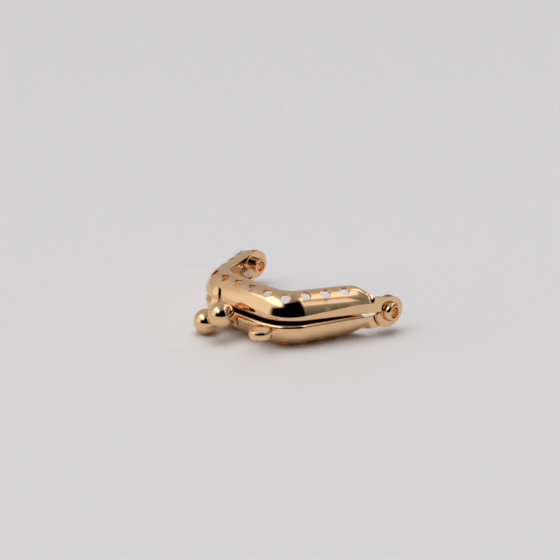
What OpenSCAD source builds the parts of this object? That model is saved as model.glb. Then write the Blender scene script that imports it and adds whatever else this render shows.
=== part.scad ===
// Kiss-lock purse frame for a small sewn purse: two arched half frames of stamped
// sheet, hinged on hollow rivets and closed by two balls that snap past each other.
// Millimetres. The frame lies on its lower half, as it lies on a table: X runs along
// the hinge axis, the balls point to -Y, Z is up and z = 0 is the table.

/* [Outline] */
// Width over the outer hinge eyes
frame_w = 41; // [40:0.5:42]
// Depth from the hinge axis to the outer edge of the top bar
frame_d = 23.75; // [23:0.25:24.5]
// Outer radius of the shoulders
shoulder_r = 8.7; // [8.2:0.1:9.2]
// Distance of each shoulder's centre from the middle
shoulder_x = 6.3; // [6:0.1:6.6]
// Radius of the slightly bowed top bar
bar_r = 95; // [80:5:120]

/* [Half frames] */
// Thickness of the sheet
sheet = 0.6; // [0.5:0.05:0.65]
// Height of the upper half above its rim
upper_h = 5.3; // [5.1:0.05:5.4]
// Height of the lower half below its rim
lower_h = 5.25; // [5.1:0.05:5.4]
// How far the curled crown reaches inward from the outline
shell_w = 5; // [4.8:0.1:5.2]
// How far the flat flange along the rim reaches inward
flange = 5.4; // [5:0.1:5.6]
// Radius of the bend between wall and flange
lip_r = 0.7; // [0.68:0.02:0.8]
// Gap between the flanges at their inner edges
flange_gap = 0.14; // [0.12:0.02:0.2]
// Angle by which the snapped frame stays open
rest_angle = 1.75; // [1.6:0.05:2]

/* [Hinge] */
// Half the length of the oval outer eyes
eye_a = 4.05; // [4:0.05:4.1]
// Half the height of the oval outer eyes
eye_b = 3.38; // [3.36:0.01:3.4]
// Radius of the round inner eyes
inner_eye_r = 3.35; // [3.3:0.01:3.36]
// Thickness of a hinge eye
eye_t = 0.7; // [0.7:0.01:0.75]
// How far the outer eye hangs below the hinge axis
outer_eye_drop = 0.18; // [0.14:0.02:0.2]
// Rims of the halves lie this far above the hinge axis
rim_over_axis = 0.22; // [0.18:0.02:0.26]
// Gap between the rims at the hinge axis
rim_gap = 0.2; // [0.18:0.02:0.3]
// Radius of the rivet's shank
rivet_r = 1.5; // [1.45:0.05:1.55]
// Radius of the hole through the rivet
rivet_hole_r = 1.12; // [1:0.02:1.14]
// Radius of the rivet's rolled head
rivet_head_r = 2.07; // [2:0.01:2.1]
// How far the rivet's head stands out
rivet_head_t = 1.4; // [1.2:0.1:1.5]
// Radius of the rivet's tail inside the frame
rivet_tail_r = 1.6; // [1.56:0.02:1.7]
// Length of the tail past the inner eye
rivet_tail_t = 1.45; // [1.3:0.05:1.6]

/* [Sewing holes] */
// Number of holes in each half
hole_count = 12; // [8:2:12]
// Distance between holes along the row
hole_pitch = 4.2; // [4:0.1:4.3]
// Radius of a hole
hole_r = 1.0; // [0.8:0.05:1.05]
// Distance of the row from the outline
hole_in = 2.2; // [2:0.1:2.3]
// How much further out the holes of the shoulders lie
hole_out = 0.45; // [0:0.05:0.5]

/* [Clasp and loop] */
// Radius of the clasp balls
ball_r = 2.65; // [2.5:0.05:2.65]
// Width of the strip that carries the upper half's ball
upper_strip_w = 2; // [1.6:0.1:2.1]
// Width of the strip that carries the lower half's ball
lower_strip_w = 1.4; // [1.2:0.1:1.5]
// Thickness of the strips
strip_t = 0.42; // [0.36:0.02:0.44]
// Outer radius of the loop for a chain
loop_r = 2.45; // [2.35:0.05:2.5]
// Radius of the loop's hole
loop_hole_r = 2; // [1.9:0.05:2.05]
// Height of the loop
loop_h = 1.75; // [1.65:0.05:1.8]

/* [Hidden] */

GOLD = [0.80, 0.62, 0.44];
PALE_GOLD = [0.86, 0.70, 0.54];
$fn = 64;

// Running gaps
EYE_GAP = 0.1;
SHANK_GAP = 0.05;
SEAT_GAP = 0.03;
EYE_PROUD = 0.05;

// Section of the sheet in three arcs: outer face, crown and inner curl
FACE_R = 4.5;
FACE_TURN = 44;
CROWN_R = 3.7;
CURL_R = 3.1;
CURL_END = 112;
face_in = FACE_R * (1 - cos(FACE_TURN));
face_up = FACE_R * sin(FACE_TURN);
crown_in = face_in + CROWN_R * cos(FACE_TURN);
crown_up = face_up + CROWN_R * (1 - sin(FACE_TURN));
FACE_STEPS = 3;
CROWN_STEPS = 4;
CURL_STEPS = 2;
LIP_STEPS = 3;

// Length of sheet past the foot of the wall: round the lip and along the flange
flat = lip_r * PI / 2 + flange - lip_r;

// Sections of a leg from the eye to the shoulder, one row each:
// [past the bend, height, inward reach, crease over the rim, end of the curl in degrees,
//  start of the face in degrees, sheet past the wall's foot, share of the lip's bend]
UPPER_LEG = [
    [-1.3, 3.22, 0.02, 2.20,  12,  0, 0.70, 0.02],
    [-0.8, 3.32, 0.02, 2.20,  12,  0, 0.70, 0.02],
    [-0.3, 3.42, 0.02, 2.20,  12,  0, 0.70, 0.02],
    [ 0.3, 3.53, 0.02, 2.20,  13,  0, 0.70, 0.02],
    [ 0.8, 3.62, 0.04, 2.20,  16,  0, 0.70, 0.02],
    [ 1.2, 3.70, 0.70, 2.20,  42,  6, 0.70, 0.2],
    [ 1.6, 3.82, 1.75, 2.20,  66, 14, 0.70, 0.5],
    [ 2.1, 4.12, 2.92, 2.20,  82, 20, 0.75, 0.8],
    [ 2.7, 4.50, 3.60, 2.20,  92, 23, 0.95, 1],
    [ 3.4, 4.83, 4.32, 2.20, 103, 25, 1.90, 1],
    [ 4.3, 5.05, 4.69, 2.20, 110, 26, 4.40, 1],
    [ 5.7, 5.18, 4.86, 2.15, 112, 26, flat, 1],
    [ 8.7, 5.22, 4.94, 1.85, 112, 26, flat, 1],
    [11.7, 5.24, 5.00, 1.60, 112, 26, flat, 1]
];
LOWER_LEG = [
    [-1.3, 3.46, 0.02, 0.75,  12,  0, 0.25, 0.02],
    [-0.3, 3.42, 0.02, 0.75,  12,  0, 0.25, 0.02],
    [ 0.3, 3.39, 0.02, 0.75,  12,  0, 0.25, 0.02],
    [ 0.8, 3.37, 0.04, 0.75,  15,  0, 0.26, 0.02],
    [ 1.2, 3.52, 0.85, 0.75,  42,  0, 0.30, 0.3],
    [ 1.8, 3.90, 2.20, 0.75,  70,  0, 0.36, 0.7],
    [ 2.5, 4.25, 3.60, 0.75,  90,  0, 0.46, 1],
    [ 3.3, 4.55, 4.50, 0.75, 103,  0, 1.80, 1],
    [ 4.3, 4.82, 4.85, 0.75, 109,  0, 4.40, 1],
    [ 5.7, 5.05, 5.00, 0.75, 112,  0, flat, 1],
    [ 8.7, 5.22, 5.05, 0.75, 112,  0, flat, 1],
    [11.7, 5.25, 5.08, 0.75, 112,  0, flat, 1]
];
// Crease and start of the face where the shoulder begins, and along the bar
UPPER_TURN = [[1.2, 24], [0.75, 8]];
LOWER_TURN = [[0.75, 0], [0.75, 0]];

// Where the leg turns in from the eye, and how sharply
BEND_Y = 3.45;
BEND_R = 5;

// The eyes' plates run this far towards the legs; the edge of a neck lies over the middle
// of its eye by the first number and rises towards the leg by the second
PLATE_END = 2.3;
UPPER_NECK = [3.40, 0.195];
LOWER_NECK = [3.36, -0.05];

SHOULDER_STEPS = 7;
BAR_STEPS = 2;

// Balls and the middle lines of their strips: [outward, up] from the rim of their half
UPPER_BALL_X = -6.0;
UPPER_STRIP_X = -6.3;
UPPER_BALL = [3.0, -3.58];
UPPER_STRIP = [[-0.38, 3.00], [-0.21, 2.65], [0.08, 1.95], [0.26, 1.30], [0.34, 0.70],
               [0.54, 0.05], [1.10, -0.90], [1.80, -1.95], [2.40, -2.60]];
LOWER_BALL_X = -0.6;
LOWER_BALL = [3.6, -0.65];
LOWER_STRIP = [[-0.22, 3.00], [-0.10, 2.60], [0.13, 1.90], [0.26, 1.40], [0.55, 0.95],
               [1.30, 0.45], [2.20, 0.00], [3.00, -0.40]];

// Chain loop on the lower half: direction of its centre from the shoulder's centre
LOOP_TURN = 76;
LOOP_DOWN = 0.08;
LOOP_BULGE_R = 1.55;
LOOP_FOOT_W = 1.5;
LOOP_FOOT_IN = 0.1;

// Derived places
outer_eye_x = frame_w / 2;
inner_eye_x = outer_eye_x - eye_t - EYE_GAP;
shoulder_y = -frame_d + bar_r - sqrt(pow(bar_r - shoulder_r, 2) - pow(shoulder_x, 2));
bar_turn = asin(shoulder_x / (bar_r - shoulder_r));
front_reach = frame_d + LOWER_BALL[0] + ball_r;
hinge_y = (front_reach - eye_a) / 2;
hinge_z = lower_h - rim_over_axis;

// Plan of a leg whose eye lies at e: its slant, its length and its station at t
function corner(e) = [e - shoulder_x, -BEND_Y - shoulder_y];
function leg_angle(e) = acos(shoulder_r / norm(corner(e))) - atan2(corner(e)[1], corner(e)[0]);
function leg_len(e) = sqrt(pow(norm(corner(e)), 2) - pow(shoulder_r, 2));
function bend_len(e) = BEND_R * tan(leg_angle(e) / 2);
function bend_at(e, t) = leg_angle(e) * (t + bend_len(e)) / (2 * bend_len(e));
function leg_plan(e, t) =
    t <= -bend_len(e) ? [e, -BEND_Y - t, 0] :
    t < bend_len(e) ? [
        e - BEND_R * (1 - cos(bend_at(e, t))),
        -BEND_Y + bend_len(e) - BEND_R * sin(bend_at(e, t)),
        bend_at(e, t)] :
    [e - t * sin(leg_angle(e)), -BEND_Y - t * cos(leg_angle(e)), leg_angle(e)];

// Plan of the shoulder at turn a and of the bar at the angle b from the middle
function shoulder_plan(a) = [shoulder_x + shoulder_r * cos(a), shoulder_y - shoulder_r * sin(a), a];
function bar_plan(b) = [bar_r * sin(b), -frame_d + bar_r * (1 - cos(b)), 90 - b];

// Reach and height of the section at the angle b of its outer face
function arc_in(b) =
    b <= FACE_TURN ? FACE_R * (1 - cos(b)) :
    b <= 90 ? face_in + CROWN_R * (cos(FACE_TURN) - cos(b)) :
    crown_in - CURL_R * cos(b);
function arc_up(b) =
    b <= FACE_TURN ? FACE_R * sin(b) :
    b <= 90 ? face_up + CROWN_R * (sin(b) - sin(FACE_TURN)) :
    crown_up - CURL_R * (1 - sin(b));

// Angles at which a section is drawn, for a face and curl from one angle to another
function steps(from, to, n) = [for (i = [1:n]) from + (to - from) * i / n];
FULL_TURNS = concat(steps(0, FACE_TURN, FACE_STEPS), steps(FACE_TURN, 90, CROWN_STEPS),
                    steps(90, CURL_END, CURL_STEPS));
function turns(from, to) = [for (b = FULL_TURNS) from + (to - from) * b / CURL_END];

// Outer line of a section in the order flange, lip, crease, face and curl: each point is
// [inward, up, inward and up of the sheet's inner side]; slope is how far the flange leans out
function outer_line(row, slope) =
    let (
        crease = row[2], end = row[3], start = row[4], share = row[6],
        wide = row[1] / (arc_in(end) - arc_in(start)),
        tall = (row[0] - crease) / (arc_up(min(end, 90)) - arc_up(start)),
        full = lip_r * PI / 2 / share,
        round_len = min(row[5], full),
        last = round_len * share / lip_r * 180 / PI,
        past = max(row[5] - full, 0.01),
        lean = slope * past / (flange - lip_r),
        lip = [for (a = [for (i = [LIP_STEPS:-1:0]) last * i / LIP_STEPS])
            let (x = lip_r / share * (1 - cos(a)), z = lip_r - lip_r / share * sin(a))
            [x, z, x + sheet * cos(a), z + sheet * sin(a)]],
        edge = [lip[0][0] + past * sin(last), lip[0][1] - past * cos(last) - lean],
        face = [for (b = turns(start, end))
            let (x = wide * (arc_in(b) - arc_in(start)), z = crease + tall * (arc_up(b) - arc_up(start)))
            [x, z, x + sheet * cos(b), z - sheet * sin(b)]]
    )
    concat(
        [[edge[0], edge[1], edge[0] + sheet * cos(last), edge[1] + sheet * sin(last)]],
        lip,
        [[0, crease, sheet, crease - sheet * tan(start / 2)]],
        face);

// One section as a ring of points; row is a row of a leg's table without its first column
function section(plan, row) =
    let (
        apart = rim_gap - (plan[1] + flange * sin(plan[2])) * tan(rest_angle),
        line = outer_line(row, (apart - flange_gap) / 2),
        n = len(line),
        ring = concat(
            [for (p = line) [p[0], p[1]]],
            [for (i = [n - 1:-1:0]) [line[i][2], line[i][3]]])
    )
    [for (p = ring) [plan[0] - p[0] * cos(plan[2]), plan[1] + p[0] * sin(plan[2]), p[1]]];

// Stations of one side, from the eye to the middle of the bar, then both sides
function eased(turn, s) = turn[1] + (turn[0] - turn[1]) * pow(1 - s, 2);
function shoulder_row(turn, h, s) =
    [h, shell_w, eased(turn, s)[0], CURL_END, eased(turn, s)[1], flat, 1];
function side(e, leg, turn, h) = concat(
    [for (r = leg) [leg_plan(e, r[0]), [for (k = [1:7]) r[k]]]],
    [for (i = [0:SHOULDER_STEPS])
        let (s = i / SHOULDER_STEPS, a = leg_angle(e) + s * (90 - bar_turn - leg_angle(e)))
        [shoulder_plan(a), shoulder_row(turn, h, s)]],
    [for (i = [1:BAR_STEPS])
        [bar_plan(bar_turn * (1 - i / BAR_STEPS)), shoulder_row(turn, h, 1)]]
);
function mirrored(s) = [[-s[0][0], s[0][1], 180 - s[0][2]], s[1]];
function both_sides(s) = concat(s, [for (i = [len(s) - 2:-1:0]) mirrored(s[i])]);

// The bent sheet of a half: rim in the plane z = 0, crown up, hinge axis along X
module bent_sheet(e, leg, turn, h) {
    stations = both_sides(side(e, leg, turn, h));
    rings = [for (s = stations) section(s[0], s[1])];
    n = len(rings[0]);
    m = len(rings);
    points = [for (ring = rings) for (p = ring) p];
    walls = [for (k = [0:m - 2]) for (i = [0:n - 1])
        let (j = (i + 1) % n)
        for (f = [0, 1])
            f == 0 ? [k * n + i, (k + 1) * n + j, k * n + j] :
            [k * n + i, (k + 1) * n + i, (k + 1) * n + j]];
    half = n / 2;
    caps = [for (k = [0, m - 1]) for (i = [0:half - 2]) for (f = [0, 1])
        let (a = k * n + i, b = k * n + i + 1, c = k * n + n - 2 - i, d = k * n + n - 1 - i)
        k == 0 ? (f == 0 ? [a, b, c] : [a, c, d]) : (f == 0 ? [a, c, b] : [a, d, c])];
    polyhedron(points = points, faces = concat(walls, caps), convexity = 10);
}

// Sewing hole at the distance r along the row: [outline station, section there, inward]
function leg_row(leg, t) = [for (k = [1:7]) lookup(t, [for (r = leg) [r[0], r[k]]])];
function hole_place(e, leg, turn, h, r) =
    let (
        on_bar = (bar_r - hole_in) * bar_turn * PI / 180,
        sweep = 90 - bar_turn - leg_angle(e),
        on_shoulder = (shoulder_r - hole_in) * sweep * PI / 180,
        s = 1 - (r - on_bar) / on_shoulder,
        t = leg_len(e) - (r - on_bar - on_shoulder)
    )
    r <= on_bar ?
        [bar_plan(r / (bar_r - hole_in) * 180 / PI), shoulder_row(turn, h, 1), hole_in] :
    r <= on_bar + on_shoulder ?
        [shoulder_plan(leg_angle(e) + s * sweep), shoulder_row(turn, h, s),
         hole_in - hole_out * sin(180 * s)] :
    [leg_plan(e, t), leg_row(leg, t), hole_in];

// The row of sewing holes through the crown of a half of height h
module sewing_holes(e, leg, turn, h) {
    for (side = [-1, 1], k = [0:hole_count / 2 - 1]) {
        place = hole_place(e, leg, turn, h, (k + 0.5) * hole_pitch);
        p = place[0];
        row = place[1];
        wide = row[1] / (arc_in(row[3]) - arc_in(row[4]));
        tall = (row[0] - row[2]) / (arc_up(min(row[3], 90)) - arc_up(row[4]));
        b = acos(cos(FACE_TURN) - (place[2] / wide + arc_in(row[4]) - face_in) / CROWN_R);
        out = [side * cos(p[2]), -sin(p[2])];
        translate([side * p[0] - place[2] * out[0], p[1] - place[2] * out[1],
                   row[2] + tall * (arc_up(b) - arc_up(row[4]))])
        rotate([0, 0, atan2(out[1], out[0])])
        rotate([0, 90 - b, 0])
        cylinder(r = hole_r, h = 3.4 * sheet, center = true, $fn = 48);
    }
}

// A pair of eyes with their necks: outer faces at x = e and -e, half the length a and half
// the height b, and their middles at the height mid over the rim plane
module eyes(e, a, b, mid, neck) {
    touch = neck[1] * a * a / neck[0];
    first = atan2((neck[0] - neck[1] * touch) / b, touch / a);
    last = -180 - asin(-mid / b);
    oval = [for (i = [0:60]) let (t = first + (last - first) * i / 60) [a * cos(t), mid + b * sin(t)]];
    ends = [[-PLATE_END, 0], [-PLATE_END, mid + neck[0] + neck[1] * PLATE_END]];
    for (side = [-1, 1])
        translate([side * (e - eye_t / 2), 0, 0])
        rotate([90, 0, 90])
        linear_extrude(height = eye_t, center = true)
        polygon(concat(ends, oval));
}
module eye_bores(e, r) {
    for (side = [-1, 1])
        translate([side * (e - eye_t / 2), 0, 0])
        rotate([0, 90, 0])
        cylinder(r = r, h = 3 * eye_t, center = true);
}

// Moves a half from the hinge axis to its place; turn lifts its bar
module on_hinge(turn) {
    translate([0, hinge_y, hinge_z]) rotate([-turn, 0, 0]) children();
}

module lower_frame() {
    e = inner_eye_x - EYE_PROUD;
    color(GOLD)
    on_hinge(0)
    difference() {
        translate([0, 0, rim_over_axis]) mirror([0, 0, 1]) {
            bent_sheet(e, LOWER_LEG, LOWER_TURN, lower_h);
            eyes(inner_eye_x, inner_eye_r, inner_eye_r, rim_over_axis, LOWER_NECK);
        }
        eye_bores(inner_eye_x, rivet_r + SEAT_GAP);
        translate([0, 0, rim_over_axis]) mirror([0, 0, 1])
            sewing_holes(e, LOWER_LEG, LOWER_TURN, lower_h);
    }
}

module upper_frame() {
    e = outer_eye_x - EYE_PROUD;
    lift = rim_over_axis + rim_gap;
    color(GOLD)
    on_hinge(rest_angle)
    difference() {
        translate([0, 0, lift]) {
            bent_sheet(e, UPPER_LEG, UPPER_TURN, upper_h);
            eyes(outer_eye_x, eye_a, eye_b, -lift - outer_eye_drop, UPPER_NECK);
        }
        eye_bores(outer_eye_x, rivet_r + SHANK_GAP);
        translate([0, 0, lift])
            sewing_holes(e, UPPER_LEG, UPPER_TURN, upper_h);
    }
}

// Hollow rivet along +X: rolled head outside, shank through both eyes, tail inside
module rivet(side) {
    head_in = outer_eye_x + SEAT_GAP;
    head_out = outer_eye_x + rivet_head_t;
    roll = (rivet_head_r - rivet_hole_r) / 2;
    tail_out = inner_eye_x - eye_t - SEAT_GAP;
    tail_in = tail_out - rivet_tail_t;
    color(PALE_GOLD)
    translate([0, hinge_y, hinge_z])
    mirror([side < 0 ? 1 : 0, 0, 0])
    rotate([0, 90, 0])
    rotate_extrude()
    difference() {
        union() {
            translate([0, tail_in]) square([rivet_r, head_out - roll - tail_in]);
            translate([0, head_in]) square([rivet_head_r, head_out - roll - head_in]);
            translate([rivet_hole_r + roll, head_out - roll]) circle(r = roll);
            translate([0, tail_in]) square([rivet_tail_r, rivet_tail_t]);
        }
        translate([-1, tail_in - 1]) square([1 + rivet_hole_r, head_out - tail_in + 2]);
    }
}

module rivet_right() {
    rivet(1);
}

module rivet_left() {
    rivet(-1);
}

// Middle line of a strip moved sideways by d
function along(line, i) =
    let (d = line[min(i + 1, len(line) - 1)] - line[max(i - 1, 0)]) d / norm(d);
function beside(line, d) =
    [for (i = [0:len(line) - 1]) let (v = along(line, i)) line[i] + d * [-v[1], v[0]]];

// A clasp ball on its bent strip: outward is -Y from the outline, up is away from the rim
module ball_on_strip(x, ball, strip_x, strip, w) {
    left = beside(strip, strip_t / 2);
    right = beside(strip, -strip_t / 2);
    translate([0, -frame_d + bar_r - sqrt(pow(bar_r, 2) - pow(x, 2)), 0]) {
        translate([x, -ball[0], ball[1]]) sphere(r = ball_r, $fn = 96);
        translate([strip_x, 0, 0])
        rotate([90, 0, -90])
        linear_extrude(height = w, center = true)
        polygon(concat(left, [for (i = [len(right) - 1:-1:0]) right[i]]));
    }
}

module lower_ball() {
    color(PALE_GOLD)
    on_hinge(0)
    translate([0, 0, rim_over_axis]) mirror([0, 0, 1])
    ball_on_strip(LOWER_BALL_X, LOWER_BALL, LOWER_BALL_X, LOWER_STRIP, lower_strip_w);
}

module upper_ball() {
    color(PALE_GOLD)
    on_hinge(rest_angle)
    translate([0, 0, rim_over_axis + rim_gap])
    ball_on_strip(UPPER_BALL_X, UPPER_BALL, UPPER_STRIP_X, UPPER_STRIP, upper_strip_w);
}

// Loop for a chain: a short band, rounded outside, with a foot on the lower half
module chain_loop() {
    reach = shoulder_r + SEAT_GAP + loop_r;
    color(PALE_GOLD)
    on_hinge(0)
    translate([shoulder_x, shoulder_y, rim_over_axis - LOOP_DOWN - loop_h])
    rotate([0, 0, -LOOP_TURN])
    difference() {
        union() {
            translate([reach, 0, 0])
            rotate_extrude()
            intersection() {
                square([loop_r, loop_h]);
                translate([loop_r - LOOP_BULGE_R, loop_h / 2]) circle(r = LOOP_BULGE_R);
            }
            translate([shoulder_r + SEAT_GAP, -LOOP_FOOT_W / 2, LOOP_FOOT_IN])
                cube([loop_r - loop_hole_r + LOOP_FOOT_IN, LOOP_FOOT_W, loop_h - 2 * LOOP_FOOT_IN]);
        }
        translate([reach, 0, -1]) cylinder(r = loop_hole_r, h = loop_h + 2);
    }
}

lower_frame();
upper_frame();
rivet_right();
rivet_left();
lower_ball();
upper_ball();
chain_loop();
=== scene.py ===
import math
import bpy
import numpy as np
from mathutils import Matrix, Vector


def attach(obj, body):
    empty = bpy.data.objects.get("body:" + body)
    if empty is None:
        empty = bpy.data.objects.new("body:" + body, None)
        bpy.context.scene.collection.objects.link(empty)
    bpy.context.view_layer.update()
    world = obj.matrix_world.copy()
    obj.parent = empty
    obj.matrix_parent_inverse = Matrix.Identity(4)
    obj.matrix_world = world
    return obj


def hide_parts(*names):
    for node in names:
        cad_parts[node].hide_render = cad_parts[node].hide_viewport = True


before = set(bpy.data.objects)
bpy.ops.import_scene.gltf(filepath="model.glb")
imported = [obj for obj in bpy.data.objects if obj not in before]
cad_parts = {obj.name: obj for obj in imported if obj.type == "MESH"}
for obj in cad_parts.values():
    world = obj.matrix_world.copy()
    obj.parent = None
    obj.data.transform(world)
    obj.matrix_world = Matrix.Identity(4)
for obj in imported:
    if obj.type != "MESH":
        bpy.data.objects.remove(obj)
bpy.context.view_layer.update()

MM = 0.001
RAD = math.pi / 180

# Sizes in millimetres, as in the part's source
FRAME_W, FRAME_D = 41.0, 23.75
SHOULDER_R, SHOULDER_X, BAR_R = 8.7, 6.3, 95.0
SHEET, EYE_GAP, SEAT_GAP = 0.6, 0.1, 0.03
LOWER_H, FLANGE = 5.25, 5.4
REST_ANGLE = 1.75 * RAD
EYE_A, EYE_B, INNER_EYE_R, EYE_T, OUTER_EYE_DROP = 4.05, 3.38, 3.35, 0.7, 0.18
RIM_OVER_AXIS, RIM_GAP = 0.22, 0.2
RIVET_R, RIVET_HOLE_R, RIVET_HEAD_R, RIVET_HEAD_T = 1.5, 1.12, 2.07, 1.4
RIVET_TAIL_R, RIVET_TAIL_T = 1.6, 1.45
HOLE_COUNT, HOLE_PITCH, HOLE_R, HOLE_IN, HOLE_OUT = 12, 4.2, 1.0, 2.2, 0.45
BALL_R = 2.65
UPPER_BALL_X, UPPER_BALL_OUT, UPPER_BALL_UP = -6.0, 3.0, -3.58
LOWER_BALL_X, LOWER_BALL_OUT, LOWER_BALL_UP = -0.6, 3.6, -0.65
LOOP_R, LOOP_HOLE_R, LOOP_H, LOOP_TURN, LOOP_DOWN = 2.45, 2.0, 1.75, 76 * RAD, 0.08
HINGE_Y = (FRAME_D + LOWER_BALL_OUT + BALL_R - EYE_A) / 2
HINGE_Z = LOWER_H - RIM_OVER_AXIS
OUTER_EYE_X = FRAME_W / 2
INNER_EYE_X = OUTER_EYE_X - EYE_T - EYE_GAP
# Room for the rivet in the turning and in the held eyes
TURN_FIT, HELD_FIT = 0.05, 0.03
# Upper edge of the neck between eye and leg: height over the eye's middle, and slope
UPPER_NECK, LOWER_NECK = (3.40, 0.195), (3.36, -0.05)
# Face radius and turn, crown radius; then the curl
UPPER_ARCS, LOWER_ARCS = (4.5, 44 * RAD, 3.7), (3.0, 40 * RAD, 6.0)
CURL_R, CURL_END = 3.1, 112.0
LIP_R = 0.7
FLAT_GAP = 0.14
BEND_Y, BEND_R = 3.45, 5.0
SHOULDER_Y = -FRAME_D + BAR_R - math.sqrt((BAR_R - SHOULDER_R) ** 2 - SHOULDER_X ** 2)
BAR_TURN = math.asin(SHOULDER_X / (BAR_R - SHOULDER_R))
FLAT = LIP_R * math.pi / 2 + FLANGE - LIP_R

# Legs: distance past the bend, height, reach, crease over the rim, end of the curl, start of the
# face, length of sheet below the wall, share of the lip's bend
UPPER_LEG = np.array([
    [-1.3, 3.22, 0.00, 2.20, 12, 0, 0.70, 0.0],
    [-0.8, 3.32, 0.00, 2.20, 12, 0, 0.70, 0.0],
    [-0.3, 3.42, 0.00, 2.20, 12, 0, 0.70, 0.0],
    [0.3, 3.53, 0.00, 2.20, 13, 0, 0.70, 0.0],
    [0.8, 3.62, 0.00, 2.20, 16, 0, 0.70, 0.0],
    [1.2, 3.70, 0.70, 2.20, 42, 6, 0.70, 0.2],
    [1.6, 3.82, 1.75, 2.20, 66, 14, 0.70, 0.5],
    [2.1, 4.12, 2.92, 2.20, 82, 20, 0.75, 0.8],
    [2.7, 4.50, 3.60, 2.20, 92, 23, 0.95, 1.0],
    [3.4, 4.83, 4.32, 2.20, 103, 25, 1.90, 1.0],
    [4.3, 5.05, 4.69, 2.20, 110, 26, 4.40, 1.0],
    [5.7, 5.18, 4.86, 2.15, CURL_END, 26, FLAT, 1.0],
    [8.7, 5.22, 4.94, 1.85, CURL_END, 26, FLAT, 1.0],
    [11.7, 5.24, 5.00, 1.60, CURL_END, 26, FLAT, 1.0],
])
LOWER_LEG = np.array([
    [-1.3, 3.46, 0.00, 0.75, 12, 0, 0.25, 0.0],
    [-0.3, 3.42, 0.00, 0.75, 12, 0, 0.25, 0.0],
    [0.3, 3.39, 0.00, 0.75, 12, 0, 0.25, 0.0],
    [0.8, 3.37, 0.00, 0.75, 15, 0, 0.26, 0.0],
    [1.2, 3.52, 0.85, 0.75, 42, 0, 0.30, 0.3],
    [1.8, 3.90, 2.20, 0.75, 70, 0, 0.36, 0.7],
    [2.5, 4.25, 3.60, 0.75, 90, 0, 0.46, 1.0],
    [3.3, 4.55, 4.50, 0.75, 103, 0, 1.80, 1.0],
    [4.3, 4.82, 4.85, 0.75, 109, 0, 4.40, 1.0],
    [5.7, 5.05, 5.00, 0.75, CURL_END, 0, FLAT, 1.0],
    [8.7, 5.22, 5.05, 0.75, CURL_END, 0, FLAT, 1.0],
    [11.7, 5.25, 5.08, 0.75, CURL_END, 0, FLAT, 1.0],
])
# Crease and start of the face, each where the shoulder meets the leg and where it meets the bar
UPPER_TURN = ((1.2, 0.75), (24.0, 8.0))
LOWER_TURN = ((0.75, 0.75), (0.0, 0.0))

# Where the swept sheet ends and the flat plates of the eyes begin, from the hinge axis
PLATE_END = 2.3
# How far the skins stop short of the sheet's edge, and rounding of the sewing holes
EDGE, HOLE_EDGE = 0.16, 0.12
# Length of a cell along the outline, half width of the patch round a hole, step round a plate
CELL, PATCH, PLATE_STEP = 0.22, 1.42, 0.3
PATCH_RINGS, PLATE_RINGS = 4, 7
# The two skins of the sheet: depth under the outer surface, and the side that a normal takes
SKINS = ((0.0, 1), (SHEET, -1))
# Points round a turned piece and a ball
ROUND = 96


def curve(xs, ys, x):
    """Cubic through the rows of a table, without overshoot."""
    h = np.diff(xs)
    d = np.diff(ys) / h
    m = np.zeros(len(xs))
    for i in range(1, len(xs) - 1):
        if d[i - 1] * d[i] > 0:
            w1, w2 = 2 * h[i] + h[i - 1], h[i] + 2 * h[i - 1]
            m[i] = (w1 + w2) / (w1 / d[i - 1] + w2 / d[i])
    m[0], m[-1] = d[0], 0.0
    x = np.clip(x, xs[0], xs[-1])
    k = np.clip(np.searchsorted(xs, x) - 1, 0, len(xs) - 2)
    t = (x - xs[k]) / h[k]
    return ((1 + 2 * t) * (1 - t) ** 2 * ys[k] + t * (1 - t) ** 2 * h[k] * m[k]
            + t * t * (3 - 2 * t) * ys[k + 1] + t * t * (t - 1) * h[k] * m[k + 1])


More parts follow.
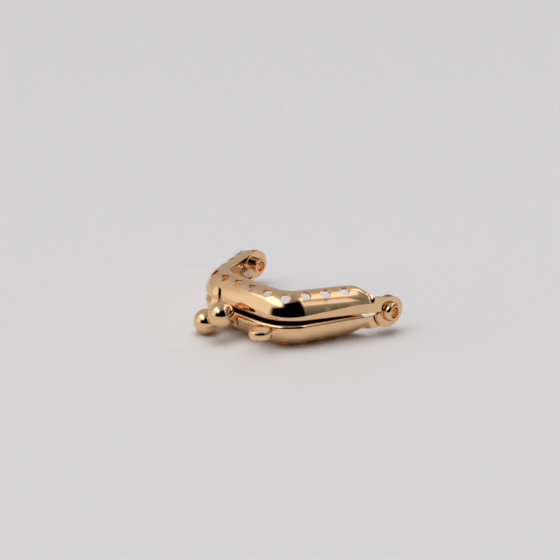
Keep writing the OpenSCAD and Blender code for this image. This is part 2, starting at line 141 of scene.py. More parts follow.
class Half:
    """The bent sheet of one half: rim plane z = 0, crown up, hinge axis along X at z = axis_z.

    Its surface is given by u, the distance along the outline from the right end of the hinge, and w,
    the step along the section from the flange's edge to the end of the curl.
    """

    # Cells of the section in flange, lip, wall and the rest, and steps of the tables in each cell
    PARTS = (7, 8, 5, 40)
    FINE = 6
    FACE_STEPS = 320

    def __init__(self, e, leg, turn, arcs, axis_z, eye, neck, drop=0.0):
        self.e, self.leg, self.turn, self.arcs = e, leg, turn, arcs
        self.axis_z, self.eye, self.neck, self.drop = axis_z, eye, neck, drop
        c = (e - SHOULDER_X, -BEND_Y - SHOULDER_Y)
        n = math.hypot(*c)
        self.slant = math.acos(SHOULDER_R / n) - math.atan2(c[1], c[0])
        self.leg_len = math.sqrt(n * n - SHOULDER_R ** 2)
        self.bend = BEND_R * math.tan(self.slant / 2)
        self.on_leg = BEND_Y + self.leg_len
        self.sweep = 90 * RAD - BAR_TURN - self.slant
        self.on_shoulder = SHOULDER_R * self.sweep
        self.on_bar = BAR_R * BAR_TURN
        self.middle = self.on_leg + self.on_shoulder + self.on_bar
        self.fill_tables()

    def plan(self, u):
        """Outline point and turn at the distance u from the hinge axis, for the right side."""
        t = u - BEND_Y
        bl = self.bend
        ang = np.clip(self.slant * (t + bl) / (2 * bl), 0, self.slant)
        x = np.where(t < bl, self.e - BEND_R * (1 - np.cos(ang)), self.e - t * math.sin(self.slant))
        y = np.where(t < bl, -BEND_Y + bl - BEND_R * np.sin(ang), -BEND_Y - t * math.cos(self.slant))
        y = np.where(t < -bl, -BEND_Y - t, y)
        a = self.slant + np.clip(u - self.on_leg, 0, self.on_shoulder) / SHOULDER_R
        on = u > self.on_leg
        x = np.where(on, SHOULDER_X + SHOULDER_R * np.cos(a), x)
        y = np.where(on, SHOULDER_Y - SHOULDER_R * np.sin(a), y)
        ang = np.where(on, a, ang)
        b = (self.middle - u) / BAR_R
        on = u > self.on_leg + self.on_shoulder
        x = np.where(on, BAR_R * np.sin(b), x)
        y = np.where(on, -FRAME_D + BAR_R * (1 - np.cos(b)), y)
        ang = np.where(on, 90 * RAD - b, ang)
        return x, y, ang

    def row(self, u):
        """The leg table's columns at u; crease and start of the face go on changing to the bar."""
        t = u - BEND_Y
        last = self.leg[-1, 0]
        cols = [curve(self.leg[:, 0], self.leg[:, k], t) for k in range(1, 8)]
        s = np.clip((u - self.on_leg) / self.on_shoulder, 0, 1)
        blend = np.clip((t - last) / (self.leg_len - last), 0, 1)
        for k, (at_leg, at_bar) in zip((2, 4), self.turn):
            col = cols[k] + (at_leg - self.leg[-1, k + 1]) * blend
            cols[k] = np.where(u > self.on_leg, at_bar + (at_leg - at_bar) * (1 - s) ** 2, col)
        return cols

    def face_path(self, b):
        """Reach and rise along face, crown and curl, at the turn b from upright."""
        face_r, face_turn, crown_r = self.arcs
        f_in, f_up = face_r * (1 - math.cos(face_turn)), face_r * math.sin(face_turn)
        c_in = f_in + crown_r * math.cos(face_turn)
        c_up = f_up + crown_r * (1 - math.sin(face_turn))
        on_face, on_crown = b <= face_turn, b <= math.pi / 2
        inward = np.where(on_crown, f_in + crown_r * (math.cos(face_turn) - np.cos(b)),
                          c_in - CURL_R * np.cos(b))
        upward = np.where(on_crown, f_up + crown_r * (np.sin(b) - math.sin(face_turn)),
                          c_up - CURL_R * (1 - np.sin(b)))
        return (np.where(on_face, face_r * (1 - np.cos(b)), inward),
                np.where(on_face, face_r * np.sin(b), upward))

    def section(self, u):
        """Inward reach and height of the outer surface at each u, and the length from the crease on.

        The surface stops EDGE short at both ends, where add_edge takes over.
        """
        height, reach, crease, end, start, tip, share = self.row(u)
        n1, n2, n3, n4 = (k * self.FINE for k in self.PARTS)
        # the sheet below the wall: round the lip, then flat
        share = np.maximum(share, 1e-3)[:, None]
        tip = (tip - EDGE)[:, None]
        full = LIP_R * math.pi / 2 / share
        flat = np.maximum(tip - full, 0)
        q = np.concatenate([np.linspace(1, 0, n1 + 1)[None, :] * flat + np.minimum(tip, full),
                            np.linspace(1, 0, n2 + 1)[None, 1:] * np.minimum(tip, full)], 1)
        ang = np.minimum(q, full) * share / LIP_R
        x1 = LIP_R / share * (1 - np.cos(ang)) + np.maximum(q - full, 0)
        z1 = LIP_R - LIP_R / share * np.sin(ang)
        # the flat closes in on the other half's, leaving the same gap everywhere at its inner edge
        at = self.plan(u)
        apart = RIM_GAP - (at[1] + FLANGE * np.sin(at[2]))[:, None] * math.tan(REST_ANGLE)
        z1 = z1 - (apart - FLAT_GAP) / 2 * np.maximum(q - full, 0) / (FLANGE - LIP_R)
        # wall up to the crease
        z2 = LIP_R + (crease[:, None] - LIP_R) * np.linspace(0, 1, n3 + 1)[None, 1:]
        x2 = 0 * z2
        # face, crown and curl, scaled to the table's reach and height
        end, start = np.radians(end)[:, None], np.radians(start)[:, None]
        in_start, up_start = self.face_path(start)
        wide = reach[:, None] / (self.face_path(end)[0] - in_start)
        tall = (height - crease)[:, None] / (self.face_path(np.minimum(end, math.pi / 2))[1] - up_start)
        inward, upward = self.face_path(start + np.linspace(0, 1, self.FACE_STEPS + 1) * (end - start))
        x = wide * (inward - in_start)
        z = crease[:, None] + tall * (upward - up_start)
        s = np.concatenate([np.zeros((len(u), 1)), np.cumsum(np.hypot(np.diff(x), np.diff(z)), 1)], 1)
        w = np.linspace(0, 1, n4 + 1)[1:]
        x3 = np.array([np.interp(w * (s[i, -1] - EDGE), s[i], x[i]) for i in range(len(u))])
        z3 = np.array([np.interp(w * (s[i, -1] - EDGE), s[i], z[i]) for i in range(len(u))])
        return np.concatenate([x1, x2, x3], 1), np.concatenate([z1, z2, z3], 1), s[:, -1]

    def fill_tables(self, du=0.05):
        """Fine tables of positions and normals over the right half, mirrored to the left."""
        n = int(math.ceil((self.middle - PLATE_END) / du))
        u = np.linspace(PLATE_END, self.middle, n + 1)
        px, py, ang = self.plan(u)
        inward, up, length = self.section(u)
        right = np.stack([px[:, None] - inward * np.cos(ang)[:, None],
                          py[:, None] + inward * np.sin(ang)[:, None], up], 2)
        left = right[-2::-1] * np.array([-1, 1, 1])
        self.pos = np.concatenate([right, left])
        self.us = np.concatenate([u, 2 * self.middle - u[-2::-1]])
        self.ws = np.arange(self.pos.shape[1], dtype=float)
        self.u0, self.u1 = self.us[0], self.us[-1]
        self.du = (self.u1 - self.u0) / (len(self.us) - 1)
        self.face_len = length[len(u) // 2]
        nrm = np.cross(np.gradient(self.pos, axis=1), np.gradient(self.pos, axis=0))
        size = np.linalg.norm(nrm, axis=2)
        # where a part of the section has no length, its neighbour's normal serves
        for j in range(nrm.shape[1] - 2, -1, -1):
            bad = size[:, j] < 1e-9
            nrm[bad, j] = nrm[bad, j + 1]
            size[bad, j] = size[bad, j + 1]
        self.nrm = nrm / np.maximum(size, 1e-12)[:, :, None]

    def sample(self, table, u, w):
        """A table's value between its rows and columns."""
        fu = np.clip((u - self.u0) / self.du, 0, len(self.us) - 1.0001)
        fw = np.clip(w, 0, len(self.ws) - 1.0001)
        i, j = fu.astype(int), fw.astype(int)
        a, b = (fu - i)[..., None], (fw - j)[..., None]
        return (table[i, j] * (1 - a) * (1 - b) + table[i + 1, j] * a * (1 - b)
                + table[i, j + 1] * (1 - a) * b + table[i + 1, j + 1] * a * b)

    def normal(self, u, w):
        n = self.sample(self.nrm, u, w)
        return n / np.linalg.norm(n, axis=-1)[..., None]

    def point(self, u, w, depth=0.0):
        """Point of the outer surface, or of the sheet at a depth under it."""
        p = self.sample(self.pos, u, w)
        return p - depth * self.normal(u, w) if depth else p


class Net:
    """Collects points with their normals, and faces of four corners."""

    def __init__(self):
        self.p, self.n, self.f = [], [], []
        self.count = 0

    def add(self, p, n):
        """Adds points and gives their numbers."""
        p = np.asarray(p, float).reshape(-1, 3)
        self.p.append(p)
        self.n.append(np.broadcast_to(np.asarray(n, float).reshape(-1, 3), p.shape))
        self.count += len(p)
        return np.arange(self.count - len(p), self.count)

    def points(self, ids):
        return np.concatenate(self.p)[ids]

    def normals(self, ids):
        return np.concatenate(self.n)[ids]

    def strip(self, a, b):
        """Faces between two closed rings of the same length."""
        a, b = np.append(a, a[0]), np.append(b, b[0])
        for i in range(len(a) - 1):
            self.f.append((a[i], a[i + 1], b[i + 1], b[i]))

    def grow(self, ring, p, n):
        """Adds the next ring of points and joins it to the last one, if there is one."""
        new = self.add(p, n)
        if ring is not None:
            self.strip(ring, new)
        return new

    def build(self, name, place):
        p = np.concatenate(self.p)
        n = np.concatenate(self.n)
        m4 = np.array(place)
        p = (p @ m4[:3, :3].T) * MM + m4[:3, 3]
        n = n @ m4[:3, :3].T
        f = np.array(self.f)
        # every face looks the way its corners' normals do
        g = np.cross(p[f[:, 2]] - p[f[:, 0]], p[f[:, 3]] - p[f[:, 1]])
        turned = np.sum(g * (n[f[:, 0]] + n[f[:, 1]] + n[f[:, 2]] + n[f[:, 3]]), 1) < 0
        f[turned] = f[turned][:, ::-1]
        m = bpy.data.meshes.new(name)
        m.from_pydata(p.tolist(), [], f.tolist())
        m.validate()
        m.shade_smooth()
        m.normals_split_custom_set_from_vertices(n.tolist())
        o = bpy.data.objects.new(name, m)
        bpy.context.scene.collection.objects.link(o)
        return o


def solve_on(half, centre, t1, t2, target, u, w, depth):
    """(u, w) at which the surface, seen along the hole's axis, lies at the target offsets."""
    du, dw = 0.08, 2.0
    for _ in range(8):
        p = half.point(u, w, depth)
        ea = (p - centre) @ t1 - target[:, 0]
        eb = (p - centre) @ t2 - target[:, 1]
        pu = (half.point(u + du, w, depth) - half.point(u - du, w, depth)) / (2 * du)
        pw = (half.point(u, w + dw, depth) - half.point(u, w - dw, depth)) / (2 * dw)
        a, b, c, d = pu @ t1, pw @ t1, pu @ t2, pw @ t2
        det = a * d - b * c
        u = u - (d * ea - b * eb) / det
        w = w - (-c * ea + a * eb) / det
    return u, w


def hole_station(half, side, k):
    """Distance u of sewing hole k, which are evenly spaced along their own row from the middle."""
    r = (k + 0.5) * HOLE_PITCH
    on_bar = (BAR_R - HOLE_IN) * BAR_TURN
    on_shoulder = (SHOULDER_R - HOLE_IN) * half.sweep
    if r <= on_bar:
        u = half.middle - r / (BAR_R - HOLE_IN) * BAR_R
    elif r <= on_bar + on_shoulder:
        u = half.middle - half.on_bar - (r - on_bar) / (SHOULDER_R - HOLE_IN) * SHOULDER_R
    else:
        u = half.on_leg - (r - on_bar - on_shoulder)
    return u if side > 0 else 2 * half.middle - u


def hole_patches(half, us, ws):
    """Each sewing hole's middle (u, w), and the block of cells that is left out round it."""
    crown_from = sum(half.PARTS[:2]) * half.FINE
    in_w = PATCH * half.PARTS[3] * half.FINE / half.face_len
    patches = []
    for side in (1, -1):
        for k in range(HOLE_COUNT // 2):
            uc = hole_station(half, side, k)
            on_right = min(uc, 2 * half.middle - uc)
            i = int(round((uc - half.u0) / half.du))
            x, y, ang = half.plan(np.array([on_right]))
            out = np.array([side * math.cos(ang[0]), -math.sin(ang[0])])
            inward = -((half.pos[i, :, :2] - np.array([side * x[0], y[0]])) @ out)
            top = int(np.argmax(half.pos[i, :, 2]))
            # on the shoulder the row runs a little nearer to the outline
            s = np.clip((on_right - half.on_leg) / half.on_shoulder, 0, 1)
            reach = HOLE_IN - HOLE_OUT * math.sin(math.pi * s)
            wc = np.interp(reach, inward[crown_from:top + 1], half.ws[crown_from:top + 1])
            i0, i1 = np.searchsorted(us, (uc - PATCH, uc + PATCH))
            j0, j1 = np.searchsorted(ws, (wc - in_w, wc + in_w))
            patches.append((uc, wc, max(i0 - 1, 0), min(i1, len(us) - 1), j0 - 1, j1))
    return patches


def add_hole(net, half, grids, us, ws, patch):
    """Fills the patch round one sewing hole in both skins, and joins them through the sheet."""
    uc, wc, i0, i1, j0, j1 = patch
    border = ([(i, j0) for i in range(i0, i1)] + [(i1, j) for j in range(j0, j1)]
              + [(i, j1) for i in range(i1, i0, -1)] + [(i0, j) for j in range(j1, j0, -1)])
    at_i, at_j = np.array(border).T
    ub, wb = us[at_i], ws[at_j]
    centre = half.point(uc, wc)
    axis = half.normal(uc, wc)
    t1 = half.point(uc + 0.1, wc) - centre
    t1 -= axis * (t1 @ axis)
    t1 /= np.linalg.norm(t1)
    t2 = np.cross(axis, t1)
    outer = half.point(ub, wb) - centre
    phi = np.arctan2(outer @ t2, outer @ t1)
    aim = np.stack([np.cos(phi), np.sin(phi)], 1)
    radial = np.cos(phi)[:, None] * t1 + np.sin(phi)[:, None] * t2
    inner_rings = []
    for grid, (depth, sign) in zip(grids, SKINS):
        edge = half.point(ub, wb, depth) - centre
        rho = np.hypot(edge @ t1, edge @ t2)

        def circle(r):
            s = np.clip(r / rho, 0, 1)
            return solve_on(half, centre, t1, t2, r * aim, uc + s * (ub - uc), wc + s * (wb - wc), depth)
        # from the patch's border to a circle
        u1, w1 = circle(HOLE_R + HOLE_EDGE)
        ring = grid[at_i, at_j]
        for s in np.arange(1, PATCH_RINGS + 1) / PATCH_RINGS:
            u, w = ub + s * (u1 - ub), wb + s * (w1 - wb)
            ring = net.grow(ring, half.point(u, w, depth), sign * half.normal(u, w))
        # rounded edge
        n1 = sign * half.normal(u1, w1)
        for a in (25 * RAD, 50 * RAD, 72 * RAD, 90 * RAD):
            u, w = circle(HOLE_R + HOLE_EDGE * (1 - math.sin(a)))
            p = half.point(u, w, depth) - sign * HOLE_EDGE * (1 - math.cos(a)) * half.normal(u, w)
            n = math.cos(a) * n1 - math.sin(a) * radial
            ring = net.grow(ring, p, n / np.linalg.norm(n, axis=1)[:, None])
        inner_rings.append(ring)
    net.strip(*inner_rings)


def plate_outline(half):
    """Outline of an eye's plate in (y, z), from the sheet's rim end round the tip to its crown end."""
    (a, b), zc = half.eye, half.axis_z - half.drop
    up, slope = half.neck
    z0 = half.pos[0, 0, 2] - EDGE
    # the oval runs from the rim's line through the bottom and the tip to where the neck touches it
    y_rim = -a * math.sqrt(1 - ((z0 - zc) / b) ** 2)
    y_neck = slope * a * a / up
    start = math.atan2((z0 - zc) / b, y_rim / a)
    stop = math.atan2((up - slope * y_neck) / b, y_neck / a) + 2 * math.pi
    oval = [(a * math.cos(t), zc + b * math.sin(t)) for t in np.linspace(start, stop, 72)]
    rim = [(-PLATE_END, z0), (0.5 * (-PLATE_END + oval[0][0]), z0)]
    touch, end = np.array(oval[-1]), np.array([-PLATE_END, zc + up + slope * PLATE_END])
    neck = [touch * (1 - s) + end * s for s in np.linspace(0, 1, 14)[1:]]
    return np.array(rim + oval + neck)


def add_plate(net, half, side, sheet_ends, bore_r):
    """Fills the eye's plate between the sheet's end, its outline and the bore, in both skins."""
    line = plate_outline(half)
    # even steps, and rounded where the rim meets the oval
    s = np.concatenate([[0], np.cumsum(np.hypot(*np.diff(line, axis=0).T))])
    t = np.linspace(0, s[-1], int(s[-1] / PLATE_STEP) + 1)
    line = np.stack([np.interp(t, s, line[:, 0]), np.interp(t, s, line[:, 1])], 1)
    for _ in range(3):
        line[1:-1] = 0.25 * line[:-2] + 0.5 * line[1:-1] + 0.25 * line[2:]
    d = np.gradient(line, axis=0)
    outward = np.stack([d[:, 1], -d[:, 0]], 1)
    outward /= np.linalg.norm(outward, axis=1)[:, None]
    body = (line - EDGE * outward)[1:-1]
    faces = [(side * (half.e - depth), np.array([side * sign, 0.0, 0.0])) for depth, sign in SKINS]
    outlines = [net.add(np.column_stack([np.full(len(body), x), body]), n) for x, n in faces]
    bores = []
    for (x, n), outline, sheet_end in zip(faces, outlines, sheet_ends):
        ring = np.concatenate([outline, sheet_end[::-1]])
        first = net.points(ring)
        phi = np.arctan2(first[:, 2] - half.axis_z, first[:, 1])
        goal = np.stack([bore_r * np.cos(phi), half.axis_z + bore_r * np.sin(phi)], 1)
        for f in np.arange(1, PLATE_RINGS + 1) / PLATE_RINGS:
            flat = 1 - (1 - f) ** 4
            xs = first[:, 0] * (1 - flat) + x * flat
            ring = net.grow(ring, np.column_stack([xs, first[:, 1:] * (1 - f) + goal * f]), n)
        bores.append(ring)
    # the two faces' normals cancel out in the bore, so its wall is turned here
    net.strip(*(bores if side < 0 else bores[::-1]))
    return outlines


def add_edge(net, loops):
    """Joins the skins' borders all round the sheet by a groove that runs in between them."""
    a, b = (net.points(loop) for loop in loops)
    n = net.normals(loops[0])
    into = np.cross(np.roll(a, -1, 0) - np.roll(a, 1, 0), n)
    into /= np.linalg.norm(into, axis=1)[:, None]
    ring = loops[0]
    for base, sign, angles in ((a, 1, (30, 60, 90)), (b, -1, (90, 60, 30))):
        for angle in angles:
            s, c = math.sin(angle * RAD), math.cos(angle * RAD)
            p = base + EDGE * s * into - sign * EDGE * (1 - c) * n
            ring = net.grow(ring, p, s * into + sign * c * n)
    net.strip(ring, loops[1])


def half_mesh(name, half, bore_r, place):
    """One half's whole sheet: both skins, the sewing holes, the eyes' plates and the edge."""
    net = Net()
    nu = int(round((half.u1 - half.u0) / CELL))
    nu += nu % 2
    us = np.linspace(half.u0, half.u1, nu + 1)
    ws = np.arange(sum(half.PARTS) + 1) * float(half.FINE)
    u, w = np.meshgrid(us, ws, indexing="ij")
    patches = hole_patches(half, us, ws)
    whole = np.ones((nu, len(ws) - 1), bool)
    for *_, i0, i1, j0, j1 in patches:
        whole[i0:i1, j0:j1] = False
    grids = [net.add(half.point(u, w, depth), sign * half.normal(u, w)).reshape(u.shape)
             for depth, sign in SKINS]
    for g in grids:
        for i, j in np.argwhere(whole):
            net.f.append((g[i, j], g[i + 1, j], g[i + 1, j + 1], g[i, j + 1]))
    for patch in patches:
        add_hole(net, half, grids, us, ws, patch)
    right = add_plate(net, half, 1, [g[0] for g in grids], bore_r)
    left = add_plate(net, half, -1, [g[-1] for g in grids], bore_r)
    add_edge(net, [np.concatenate([g[:, 0], plate_l, g[::-1, -1], plate_r[::-1]])
                   for g, plate_l, plate_r in zip(grids, left, right)])
    return net.build(name, place)


def hinge_place(turn, lower):
    """Place of a half, whose own frame has the rim at z = 0 and the crown up."""
    hinge = Matrix.Translation(Vector((0, HINGE_Y, HINGE_Z)) * MM) @ Matrix.Rotation(-turn, 4, "X")
    rim = RIM_OVER_AXIS if lower else RIM_OVER_AXIS + RIM_GAP
    crown = Matrix.Scale(-1 if lower else 1, 4, Vector((0, 0, 1)))
    return hinge @ Matrix.Translation(Vector((0, 0, rim)) * MM) @ crown


UPPER_PLACE, LOWER_PLACE = hinge_place(REST_ANGLE, False), hinge_place(0, True)
upper = Half(OUTER_EYE_X, UPPER_LEG, UPPER_TURN, UPPER_ARCS, -(RIM_OVER_AXIS + RIM_GAP),
             (EYE_A, EYE_B), UPPER_NECK, OUTER_EYE_DROP)
lower = Half(INNER_EYE_X, LOWER_LEG, LOWER_TURN, LOWER_ARCS, RIM_OVER_AXIS,
             (INNER_EYE_R, INNER_EYE_R), LOWER_NECK)

# Balls on their strips: each row of a strip is [outward from the bar, up from the rim, width]
UPPER_STRIP = np.array([
    [-0.38, 3.00, 1.3],
    [-0.21, 2.65, 1.5],
    [0.08, 1.95, 1.8],
    [0.26, 1.30, 2.0],
    [0.34, 0.70, 2.1],
    [0.54, 0.05, 2.1],
    [1.10, -0.90, 2.1],
    [1.80, -1.95, 2.1],
    [2.40, -2.60, 2.1],
])
LOWER_STRIP = np.array([
    [-0.22, 3.00, 1.2],
    [-0.10, 2.60, 1.4],
    [0.13, 1.90, 1.5],
    [0.26, 1.40, 1.5],
    [0.55, 0.95, 1.5],
    [1.30, 0.45, 1.5],
    [2.20, 0.00, 1.5],
    [3.00, -0.40, 1.5],
])
UPPER_TIP_X, LOWER_TIP_X = -6.45, -0.6
STRIP_T, STRIP_STEPS, STRIP_AROUND = 0.42, 60, 32
# The strip meets its ball this far left of the ball's middle
STRIP_SHIFT = 0.1


def add_sphere(net, centre, r):
    """Rings of points from pole to pole."""
    t = np.linspace(0, 2 * math.pi, ROUND, endpoint=False)
    ring = None
    for a in np.linspace(0, math.pi, ROUND // 2 + 1):
        n = np.stack([math.sin(a) * np.cos(t), math.sin(a) * np.sin(t), np.full(ROUND, math.cos(a))], 1)
        ring = net.grow(ring, np.array(centre) + r * n, n)


def add_strip(net, x_tip, x_ball, y_bar, rows):
    """Ribbon with rounded edges along a smooth path, from its round tip on the wall to the ball."""
    k = np.linspace(0, len(rows) - 1, STRIP_STEPS)
    out, up, width = [curve(np.arange(len(rows), dtype=float), rows[:, j], k) for j in range(3)]
    c = np.stack([x_tip + (x_ball - x_tip) * (k / k[-1]), y_bar - out, up], 1)
    d = np.gradient(c, axis=0)
    d /= np.linalg.norm(d, axis=1)[:, None]
    wide = np.cross(d, np.cross(np.array([1.0, 0, 0]), d))
    wide /= np.linalg.norm(wide, axis=1)[:, None]
    face = np.cross(wide, d)
    s = np.concatenate([[0], np.cumsum(np.linalg.norm(np.diff(c, axis=0), axis=1))])
    tip = width[0] / 2
    round_tip = np.sqrt(np.clip(1 - (1 - np.minimum(s / tip, 1)) ** 2, 0.0004, 1))
    t = np.linspace(0, 2 * math.pi, STRIP_AROUND, endpoint=False)
    cos, sin = np.cos(t)[:, None], np.sin(t)[:, None]
    # a flat section with rounded sides, whose normals look mostly across its two faces
    across, through = np.sign(cos) * abs(cos) ** 0.35, np.sign(sin) * abs(sin) ** 0.8
    ring = None
    for i in range(STRIP_STEPS):
        half_w, half_t = width[i] / 2 * round_tip[i], STRIP_T / 2 * min(1.0, 0.35 + round_tip[i])
        p = c[i] + half_w * across * wide[i] + half_t * through * face[i]
        n = cos ** 7 * wide[i] * 0.9 + sin * face[i]
        ring = net.grow(ring, p, n / np.linalg.norm(n, axis=1)[:, None])


def bar_y(x):
    """The bar's outer face at x, seen from the hinge axis."""
    return -FRAME_D + BAR_R - math.sqrt(BAR_R ** 2 - x * x)


def ball_piece(name, x, out, up, x_tip, rows, place):
    net = Net()
    add_sphere(net, (x, bar_y(x) - out, up), BALL_R)
    add_strip(net, x_tip, x - STRIP_SHIFT, bar_y(x), rows)
    return net.build(name, place)


def arc(cx, cr, r, a0, a1, n):
    """Points of a profile round (cx, cr), angles in degrees from the axis direction."""
    return [(cx + r * math.cos(a * RAD), cr + r * math.sin(a * RAD)) for a in np.linspace(a0, a1, n)]


def add_turned(net, profile):
    """Closed counter-clockwise profile of [along, radius] turned round the X axis."""
    p = np.array(profile)
    d = np.roll(p, -1, 0) - p
    n = np.stack([d[:, 1], -d[:, 0]], 1)
    n /= np.linalg.norm(n, axis=1)[:, None]
    t = np.linspace(0, 2 * math.pi, ROUND, endpoint=False)
    turned = np.stack([np.ones(ROUND), np.cos(t), np.sin(t)], 1)
    for i in range(len(p)):
        j = (i + 1) % len(p)
        ring = None
        for k, beside in ((i, i - 1), (j, j)):
            # a corner under 50 degrees is smooth
            m = n[i]
            if m @ n[beside] > math.cos(50 * RAD):
                m = m + n[beside]
                m = m / np.linalg.norm(m)
            ring = net.grow(ring, turned * p[k, [0, 1, 1]], turned * m[[0, 1, 1]])


def add_block(net, lo, hi):
    """Six faces between two opposite corners."""
    for k in range(3):
        i, j = [m for m in range(3) if m != k]
        for end, facing in ((lo, -1.0), (hi, 1.0)):
            corners, n = np.zeros((4, 3)), np.zeros(3)
            corners[:, k] = end[k]
            corners[:, i] = [lo[i], hi[i], hi[i], lo[i]]
            corners[:, j] = [lo[j], lo[j], hi[j], hi[j]]
            n[k] = facing
            net.f.append(tuple(net.add(corners, n)))


def rivet_profile():
    """Section of the rivet, its distances outward from the outer eye's face."""
    lip, foot, under, seat = 0.16, 0.35, 0.28, 0.02
    tail_edge, hole_edge = 0.20, 0.12
    wide, tall = RIVET_HEAD_R - RIVET_HOLE_R - lip, RIVET_HEAD_T - foot
    dome = [(foot + tall * math.cos(a * RAD), RIVET_HOLE_R + lip + wide * math.sin(a * RAD))
            for a in range(5, 91, 5)]
    tail = -EYE_T - EYE_GAP - SHEET - SEAT_GAP
    end = tail - RIVET_TAIL_T
    return (arc(RIVET_HEAD_T - lip, RIVET_HOLE_R + lip, lip, -90, 0, 8) + dome
            + arc(seat + under, RIVET_HEAD_R - under, under, 90, 180, 8)
            + [(seat, RIVET_R), (tail, RIVET_R), (tail, RIVET_TAIL_R - seat)]
            + arc(end + tail_edge, RIVET_TAIL_R - tail_edge, tail_edge, 90, 180, 6)
            + arc(end + hole_edge, RIVET_HOLE_R + hole_edge, hole_edge, 180, 270, 5))


def rivet(name, side):
    net = Net()
    add_turned(net, rivet_profile())
    place = Matrix.Translation(Vector((side * OUTER_EYE_X, HINGE_Y, HINGE_Z)) * MM)
    return net.build(name, place if side > 0 else place @ Matrix.Rotation(math.pi, 4, "Z"))


# Chain loop: a short band, barrel-shaped outside, on a foot that is narrower than the solid's
LOOP_BULGE_R, LOOP_EDGE, LOOP_HOLE_EDGE = 1.55, 0.04, 0.08
LOOP_FOOT_W, LOOP_FOOT_IN, LOOP_FOOT_AT = 1.0, 0.1, LOOP_HOLE_R + 0.06


def loop_profile():
    """Section of the band: its bulged outside, then its hole with two rounded edges."""
    end, r = LOOP_H / 2, LOOP_HOLE_EDGE
    outside = [(x, LOOP_R - LOOP_BULGE_R + math.sqrt(LOOP_BULGE_R ** 2 - x * x))
               for x in np.linspace(end - LOOP_EDGE, LOOP_EDGE - end, 17)]
    return (outside + arc(r - end, LOOP_HOLE_R + r, r, 180, 270, 5)
            + arc(end - r, LOOP_HOLE_R + r, r, 270, 360, 5))


def loop_band(name):
    net = Net()
    add_turned(net, loop_profile())
    add_block(net, (LOOP_FOOT_IN - LOOP_H / 2, -LOOP_FOOT_W / 2, LOOP_FOOT_AT),
              (LOOP_H / 2 - LOOP_FOOT_IN, LOOP_FOOT_W / 2, LOOP_R))
    reach = SHOULDER_R + SEAT_GAP + LOOP_R
    at = Vector((SHOULDER_X + reach * math.cos(LOOP_TURN), SHOULDER_Y - reach * math.sin(LOOP_TURN),
                 LOOP_DOWN + LOOP_H / 2))
    return net.build(name, LOWER_PLACE @ Matrix.Translation(at * MM)
                     @ Matrix.Rotation(-LOOP_TURN, 4, "Z") @ Matrix.Rotation(-90 * RAD, 4, "Y"))


upper_sheet = half_mesh("upper_sheet", upper, RIVET_R + TURN_FIT, UPPER_PLACE)
lower_sheet = half_mesh("lower_sheet", lower, RIVET_R + HELD_FIT, LOWER_PLACE)
rivet_right, rivet_left = rivet("rivet_right_eyelet", 1), rivet("rivet_left_eyelet", -1)
lower_ball = ball_piece("lower_ball_on_strip", LOWER_BALL_X, LOWER_BALL_OUT, LOWER_BALL_UP,
                        LOWER_TIP_X, LOWER_STRIP, LOWER_PLACE)
upper_ball = ball_piece("upper_ball_on_strip", UPPER_BALL_X, UPPER_BALL_OUT, UPPER_BALL_UP,
                        UPPER_TIP_X, UPPER_STRIP, UPPER_PLACE)
chain_loop = loop_band("chain_loop_band")


def metal(name, color, roughness):
    """Polished metal whose sheen varies a little from place to place."""
    mat = bpy.data.materials.new(name)
    mat.use_nodes = True
    nt = mat.node_tree
    b = nt.nodes["Principled BSDF"]
    b.inputs["Base Color"].default_value = (*color, 1)
    b.inputs["Metallic"].default_value = 1.0
    coords = nt.nodes.new("ShaderNodeTexCoord")
    noise = nt.nodes.new("ShaderNodeTexNoise")
    noise.inputs["Scale"].default_value = 900.0
    noise.inputs["Detail"].default_value = 3.0
    nt.links.new(coords.outputs["Object"], noise.inputs["Vector"])
    sheen = nt.nodes.new("ShaderNodeMapRange")
    sheen.inputs["To Min"].default_value = roughness * 0.75
    sheen.inputs["To Max"].default_value = roughness * 1.3
    nt.links.new(noise.outputs["Fac"], sheen.inputs["Value"])
    nt.links.new(sheen.outputs["Result"], b.inputs["Roughness"])
    return mat


GOLD = metal("rose_gold_plate", (0.90, 0.59, 0.33), 0.07)
for piece, node, body, slot in ((upper_sheet, "upper_frame", "upper_half", "plated_sheet"),
                                (lower_sheet, "lower_frame", "lower_half", "plated_sheet"),
                                (rivet_right, "rivet_right", "lower_half", "plated_fittings"),
                                (rivet_left, "rivet_left", "lower_half", "plated_fittings"),
                                (lower_ball, "lower_ball", "lower_half", "plated_fittings"),
                                (upper_ball, "upper_ball", "upper_half", "plated_fittings"),
                                (chain_loop, "chain_loop", "lower_half", "plated_fittings")):
    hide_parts(node)
    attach(piece, body)
    piece.data.materials.append(GOLD)
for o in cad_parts.values():
    for s in o.material_slots:
        s.material = GOLD
    if not o.material_slots:
        o.data.materials.append(GOLD)


def table():
    """The white table under the frame."""
    bpy.ops.mesh.primitive_plane_add(size=4.0, location=(0, 0, 0))
    top = bpy.context.object
    top.name = "table"
    mat = bpy.data.materials.new("white_table")
    mat.use_nodes = True
    b = mat.node_tree.nodes["Principled BSDF"]
    b.inputs["Base Color"].default_value = (0.90, 0.885, 0.89, 1)
    b.inputs["Roughness"].default_value = 0.6
    top.data.materials.append(mat)
    return top


table()

# Camera, fitted to the photo: turn from the front, rise, focal length and side of the photo in
# pixels, distance and offsets in millimetres from the point AIM
AZ, EL, FOCUS, PHOTO = 45.48 * RAD, 20.23 * RAD, 1418.5, 560
DIST, TX, TY = 303.5, 8.27, -0.83
AIM = Vector((0, HINGE_Y + 0.25, LOWER_H + 0.2))
SENSOR = 36.0


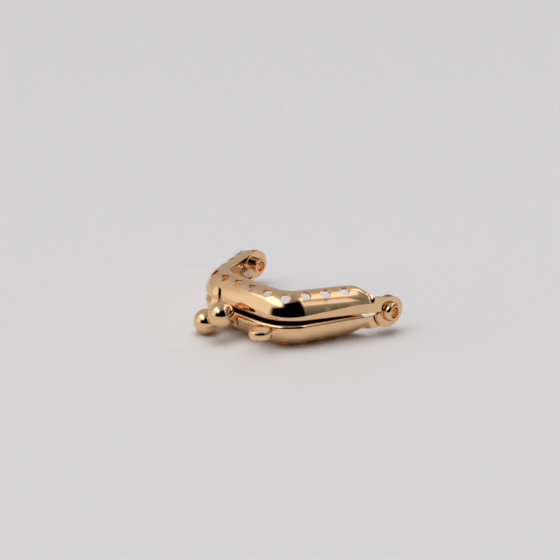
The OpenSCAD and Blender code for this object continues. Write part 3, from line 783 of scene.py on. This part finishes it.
def camera():
    back = Vector((math.sin(AZ) * math.cos(EL), -math.cos(AZ) * math.cos(EL), math.sin(EL)))
    right = Vector((math.cos(AZ), math.sin(AZ), 0))
    up = back.cross(right)
    at = -TX * right - TY * up + DIST * back + AIM
    cam = bpy.data.cameras.new("camera")
    cam.sensor_width = SENSOR
    cam.lens = SENSOR * FOCUS / PHOTO
    cam.clip_start, cam.clip_end = 0.01, 20
    o = bpy.data.objects.new("camera", cam)
    o.matrix_world = Matrix.Translation(at * MM) @ Matrix((right, up, back)).transposed().to_4x4()
    bpy.context.scene.collection.objects.link(o)
    bpy.context.scene.camera = o


camera()

# Light: a pale tent with a soft box on the left, a dim opening edged with bright strips on the
# right, and a dark way in for the camera. A direction's turn is in degrees from the camera's towards
# its right, and its rise in degrees up
world = bpy.data.worlds.new("studio")
bpy.context.scene.world = world
world.use_nodes = True
nt = world.node_tree
bg = nt.nodes["Background"]
coords = nt.nodes.new("ShaderNodeTexCoord")


def along(v):
    """How far a ray's direction goes along v."""
    n = nt.nodes.new("ShaderNodeVectorMath")
    n.operation = "DOT_PRODUCT"
    n.inputs[1].default_value = v
    nt.links.new(coords.outputs["Generated"], n.inputs[0])
    return n.outputs["Value"]


def op(kind, a, b=None):
    """One step of arithmetic on numbers or on other nodes' results."""
    n = nt.nodes.new("ShaderNodeMath")
    n.operation = kind
    for k, v in enumerate((a, b)):
        if v is None:
            continue
        if isinstance(v, (int, float)):
            n.inputs[k].default_value = v
        else:
            nt.links.new(v, n.inputs[k])
    return n.outputs[0]


def ramp(v, a, b, c=0.0, d=1.0):
    """Smooth change from c to d as v goes from a to b."""
    n = nt.nodes.new("ShaderNodeMapRange")
    n.interpolation_type = "SMOOTHSTEP"
    for k, x in enumerate((a, b, c, d)):
        n.inputs[k + 1].default_value = x
    nt.links.new(v, n.inputs[0])
    return n.outputs[0]


ahead = along((math.sin(AZ), -math.cos(AZ), 0))
aside = along((math.cos(AZ), math.sin(AZ), 0))
turn = op("MULTIPLY", op("ARCTAN2", aside, ahead), 180 / math.pi)
rise = op("MULTIPLY", op("ARCSINE", along((0, 0, 1))), 180 / math.pi)


def box(turns, rises, power):
    """A soft-edged patch: turns and rises give where it begins, is full, starts to fade and ends."""
    a = op("MULTIPLY", ramp(turn, turns[0], turns[1]), ramp(turn, turns[2], turns[3], 1, 0))
    b = op("MULTIPLY", ramp(rise, rises[0], rises[1]), ramp(rise, rises[2], rises[3], 1, 0))
    return op("MULTIPLY", op("MULTIPLY", a, b), power)


def blend(mask, a, b):
    """a where the mask is 0, b where it is 1."""
    return op("ADD", op("MULTIPLY", mask, b), op("MULTIPLY", op("SUBTRACT", 1.0, mask), a))


# pale tent, brighter on the left
room = op("ADD", 0.46, op("MULTIPLY", ramp(turn, -150, -100), ramp(turn, -60, -20, 0.16, 0)))
room = op("ADD", room, box((-102, -90, -60, -46), (-20, 0, 30, 38), 0.30))
room = op("MULTIPLY", room, ramp(rise, 70, 84, 1.0, 0.7))
# soft box on the left
room = op("ADD", room, box((-106, -92, -31, -18), (31, 42, 58, 66), 1.55))
# on the right: a dim opening with bright strips over it and at both sides
room = blend(box((40, 52, 122, 138), (-30, -20, 42, 54), 1.0), room, 0.20)
room = op("ADD", room, box((44, 58, 122, 138), (51, 59, 64, 72), 0.78))
room = op("ADD", room, box((41, 45, 50, 58), (30, 38, 56, 64), 0.75))
room = op("ADD", room, box((124, 138, 146, 157), (28, 36, 50, 60), 1.05))
# dim patch over the camera, and the dark way in for it, which narrows upward
room = blend(box((-33, -21, 44, 54), (44, 52, 70, 80), 1.0), room, 0.25)
left_rim = op("ADD", ramp(rise, 22, 36, 52, 19), ramp(rise, 46, 60, 0, -42))
dark = op("MULTIPLY", ramp(op("SUBTRACT", 43, turn), -5, 4), ramp(op("ADD", left_rim, turn), -7, 7))
dark = op("MULTIPLY", dark, ramp(rise, 54, 62, 1, 0))
room = op("MULTIPLY", room, op("SUBTRACT", 1.0, dark))
# the table is lit mostly by a wide lamp overhead, and the camera sees a plain grey behind it
lamp = op("ADD", op("MULTIPLY", room, 0.13), op("MULTIPLY", ramp(rise, 56, 78), 3.3))
rays = nt.nodes.new("ShaderNodeLightPath")
seen = nt.nodes.new("ShaderNodeMix")
nt.links.new(rays.outputs["Is Camera Ray"], seen.inputs[0])
nt.links.new(blend(rays.outputs["Is Diffuse Ray"], room, lamp), seen.inputs[2])
seen.inputs[3].default_value = 0.62
nt.links.new(seen.outputs[0], bg.inputs["Strength"])
bg.inputs["Color"].default_value = (1, 1, 1, 1)
bpy.context.scene.view_settings.view_transform = "Standard"
